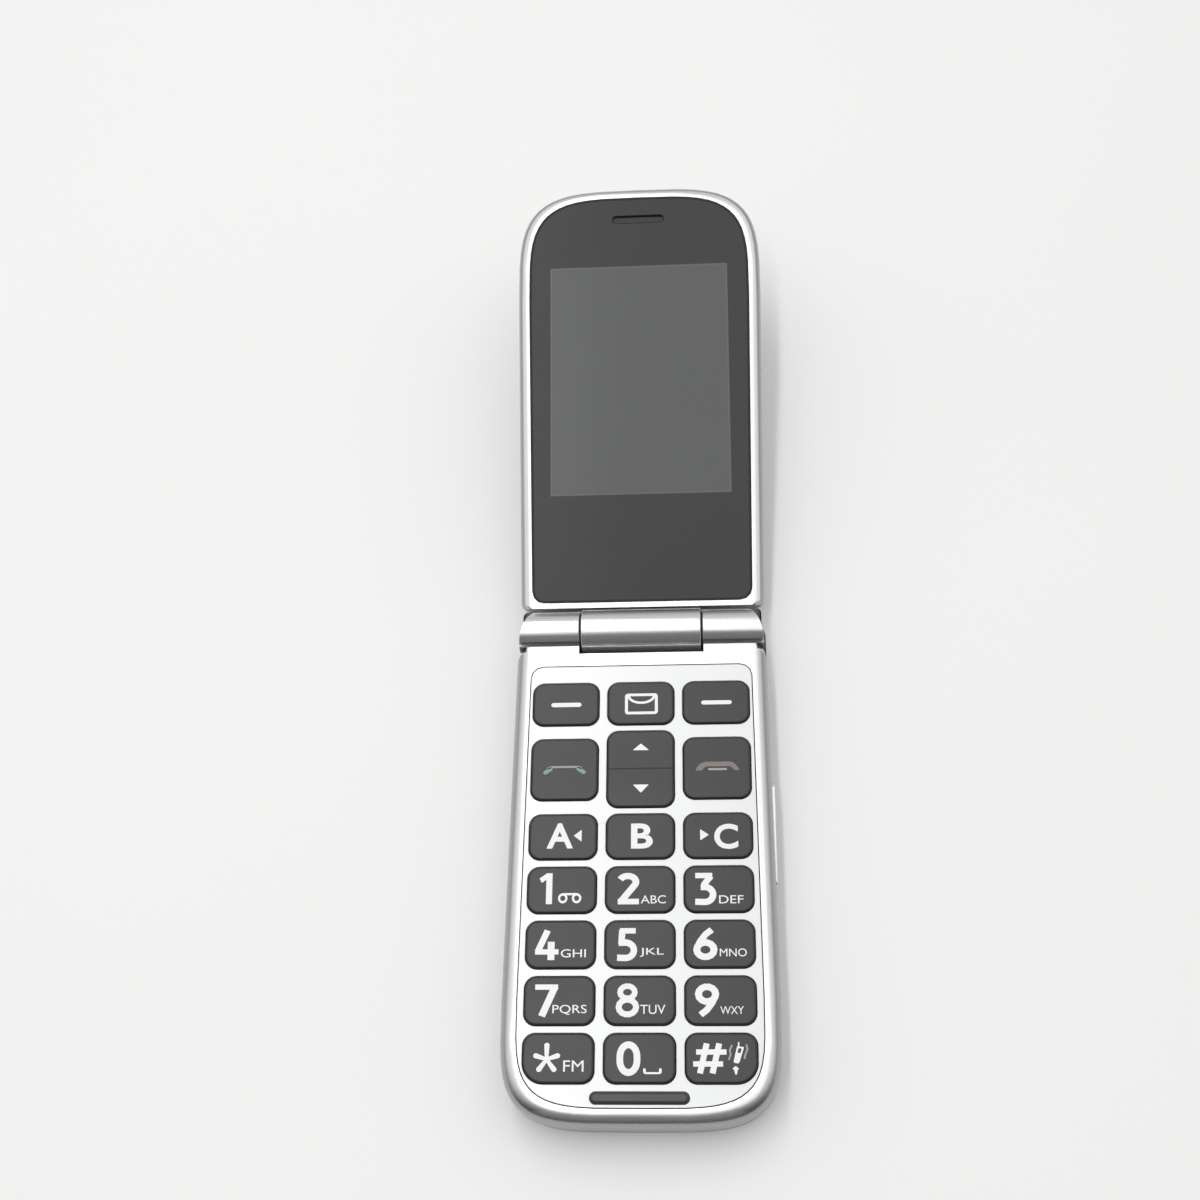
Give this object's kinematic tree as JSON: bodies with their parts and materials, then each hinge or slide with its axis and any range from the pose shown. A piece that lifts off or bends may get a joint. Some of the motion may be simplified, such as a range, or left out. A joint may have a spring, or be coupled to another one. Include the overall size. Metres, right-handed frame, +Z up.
{
  "type": "flip phone",
  "caption": "Clamshell mobile phone with a hinged lid and display, large number keys, side volume key, sockets, battery and inner parts.",
  "frame": {"origin": "middle of the base's flat back face, which the phone lies on", "axes": "+X to the right seen from the keypad side, +Y along the phone from the keys towards the hinge and the open lid, +Z up out of the keypad face"},
  "size_m": [0.0518, 0.1923, 0.0316],
  "materials": {
    "housing_silver": "silver lacquer, semi-gloss",
    "panel_white": "pale silver-white lacquer, gloss",
    "housing_dark": "near-black, semi-gloss",
    "key_grey": "charcoal, satin",
    "bumper_rubber": "dark grey rubber",
    "silicone": "translucent silicone",
    "dome_steel": "film with steel domes",
    "board_green": "solder mask",
    "can_steel": "tinned sheet",
    "battery_wrap": "printed film wrap, plain",
    "contact_gold": "gold plated",
    "black_plastic": "satin",
    "weight_metal": "sintered",
    "hinge_steel": "ground",
    "hinge_nylon": "satin",
    "flex_amber": "film, gloss",
    "screw_steel": "blackened",
    "volume_silver": "bright silver, gloss",
    "sos_red": "satin",
    "window_black": "gloss, clear over the display",
    "display_glass": "display, switched off",
    "camera_glass": "gloss",
    "magnet_nickel": "nickel plated"
  },
  "bodies": {
    "base": {"front_housing": "housing_silver", "keypad_panel": "panel_white", "keypad_mat": "silicone", "dome_sheet": "dome_steel", "main_board": "board_green", "shield_can": "can_steel", "battery": "battery_wrap", "battery_contacts": "contact_gold", "sim_holder": "can_steel", "rear_housing": "housing_dark", "battery_cover": "housing_dark", "loudspeaker": "black_plastic", "microphone": "can_steel", "vibration_motor": "can_steel", "antenna": "black_plastic", "charging_socket": "can_steel", "headset_socket": "black_plastic", "rubber_bumper": "bumper_rubber", "hinge_shaft": "hinge_steel", "hinge_bush": "hinge_nylon", "base_flex": "flex_amber", "base_screws": "screw_steel"},
    "lid": {"lid_front_frame": "housing_silver", "lid_rear_cover": "housing_dark", "lid_window": "window_black", "lcd_glass": "display_glass", "lcd_backlight": "black_plastic", "earpiece": "black_plastic", "camera_module": "black_plastic", "camera_window": "camera_glass", "lid_board": "board_green", "lid_magnet": "magnet_nickel", "lid_screws": "screw_steel", "hinge_cartridge": "hinge_steel", "hinge_spring": "hinge_steel", "lid_flex": "flex_amber"},
    "key_soft_left": {"key_soft_left": "key_grey"},
    "key_message": {"key_message": "key_grey"},
    "key_soft_right": {"key_soft_right": "key_grey"},
    "key_call": {"key_call": "key_grey"},
    "key_navigation": {"key_navigation": "key_grey"},
    "key_end": {"key_end": "key_grey"},
    "key_a": {"key_a": "key_grey"},
    "key_b": {"key_b": "key_grey"},
    "key_c": {"key_c": "key_grey"},
    "key_1": {"key_1": "key_grey"},
    "key_2": {"key_2": "key_grey"},
    "key_3": {"key_3": "key_grey"},
    "key_4": {"key_4": "key_grey"},
    "key_5": {"key_5": "key_grey"},
    "key_6": {"key_6": "key_grey"},
    "key_7": {"key_7": "key_grey"},
    "key_8": {"key_8": "key_grey"},
    "key_9": {"key_9": "key_grey"},
    "key_star": {"key_star": "key_grey"},
    "key_0": {"key_0": "key_grey"},
    "key_hash": {"key_hash": "key_grey"},
    "volume_key": {"volume_key": "volume_silver"},
    "sos_button": {"sos_button": "sos_red"},
    "vibration_weight": {"vibration_weight": "weight_metal"}
  },
  "joints": [
    {"name": "lid_hinge", "type": "hinge", "parent": "base", "child": "lid", "pos_m": [0, 0.04855, 0.0103], "axis": [1, 0, 0], "range_deg": [0, 165.6]},
    {"name": "key_soft_left_press", "type": "slide", "parent": "base", "child": "key_soft_left", "axis": [0, 0, -1], "range_m": [0, 0.0004], "stiffness_N_per_m": 1500},
    {"name": "key_message_press", "type": "slide", "parent": "base", "child": "key_message", "axis": [0, 0, -1], "range_m": [0, 0.0004], "stiffness_N_per_m": 1500},
    {"name": "key_soft_right_press", "type": "slide", "parent": "base", "child": "key_soft_right", "axis": [0, 0, -1], "range_m": [0, 0.0004], "stiffness_N_per_m": 1500},
    {"name": "key_call_press", "type": "slide", "parent": "base", "child": "key_call", "axis": [0, 0, -1], "range_m": [0, 0.0004], "stiffness_N_per_m": 1500},
    {"name": "key_navigation_tilt", "type": "hinge", "parent": "base", "child": "key_navigation", "pos_m": [0, 0.0186, 0.0111], "axis": [1, 0, 0], "range_deg": [-2, 2], "stiffness_Nm_per_rad": 0.08},
    {"name": "key_end_press", "type": "slide", "parent": "base", "child": "key_end", "axis": [0, 0, -1], "range_m": [0, 0.0004], "stiffness_N_per_m": 1500},
    {"name": "key_a_press", "type": "slide", "parent": "base", "child": "key_a", "axis": [0, 0, -1], "range_m": [0, 0.0004], "stiffness_N_per_m": 1500},
    {"name": "key_b_press", "type": "slide", "parent": "base", "child": "key_b", "axis": [0, 0, -1], "range_m": [0, 0.0004], "stiffness_N_per_m": 1500},
    {"name": "key_c_press", "type": "slide", "parent": "base", "child": "key_c", "axis": [0, 0, -1], "range_m": [0, 0.0004], "stiffness_N_per_m": 1500},
    {"name": "key_1_press", "type": "slide", "parent": "base", "child": "key_1", "axis": [0, 0, -1], "range_m": [0, 0.0004], "stiffness_N_per_m": 1500},
    {"name": "key_2_press", "type": "slide", "parent": "base", "child": "key_2", "axis": [0, 0, -1], "range_m": [0, 0.0004], "stiffness_N_per_m": 1500},
    {"name": "key_3_press", "type": "slide", "parent": "base", "child": "key_3", "axis": [0, 0, -1], "range_m": [0, 0.0004], "stiffness_N_per_m": 1500},
    {"name": "key_4_press", "type": "slide", "parent": "base", "child": "key_4", "axis": [0, 0, -1], "range_m": [0, 0.0004], "stiffness_N_per_m": 1500},
    {"name": "key_5_press", "type": "slide", "parent": "base", "child": "key_5", "axis": [0, 0, -1], "range_m": [0, 0.0004], "stiffness_N_per_m": 1500},
    {"name": "key_6_press", "type": "slide", "parent": "base", "child": "key_6", "axis": [0, 0, -1], "range_m": [0, 0.0004], "stiffness_N_per_m": 1500},
    {"name": "key_7_press", "type": "slide", "parent": "base", "child": "key_7", "axis": [0, 0, -1], "range_m": [0, 0.0004], "stiffness_N_per_m": 1500},
    {"name": "key_8_press", "type": "slide", "parent": "base", "child": "key_8", "axis": [0, 0, -1], "range_m": [0, 0.0004], "stiffness_N_per_m": 1500},
    {"name": "key_9_press", "type": "slide", "parent": "base", "child": "key_9", "axis": [0, 0, -1], "range_m": [0, 0.0004], "stiffness_N_per_m": 1500},
    {"name": "key_star_press", "type": "slide", "parent": "base", "child": "key_star", "axis": [0, 0, -1], "range_m": [0, 0.0004], "stiffness_N_per_m": 1500},
    {"name": "key_0_press", "type": "slide", "parent": "base", "child": "key_0", "axis": [0, 0, -1], "range_m": [0, 0.0004], "stiffness_N_per_m": 1500},
    {"name": "key_hash_press", "type": "slide", "parent": "base", "child": "key_hash", "axis": [0, 0, -1], "range_m": [0, 0.0004], "stiffness_N_per_m": 1500},
    {"name": "volume_key_tilt", "type": "hinge", "parent": "base", "child": "volume_key", "pos_m": [0.02153, 0.00635, 0.0076], "axis": [0, 0, 1], "range_deg": [-2, 2], "stiffness_Nm_per_rad": 0.08},
    {"name": "sos_button_press", "type": "slide", "parent": "base", "child": "sos_button", "axis": [0, 0, 1], "range_m": [0, 0.0005], "stiffness_N_per_m": 1500},
    {"name": "vibration_weight_spin", "type": "hinge", "parent": "base", "child": "vibration_weight", "pos_m": [0.0142, -0.0359, 0.0044], "axis": [0, -1, 0], "continuous": true}
  ]
}
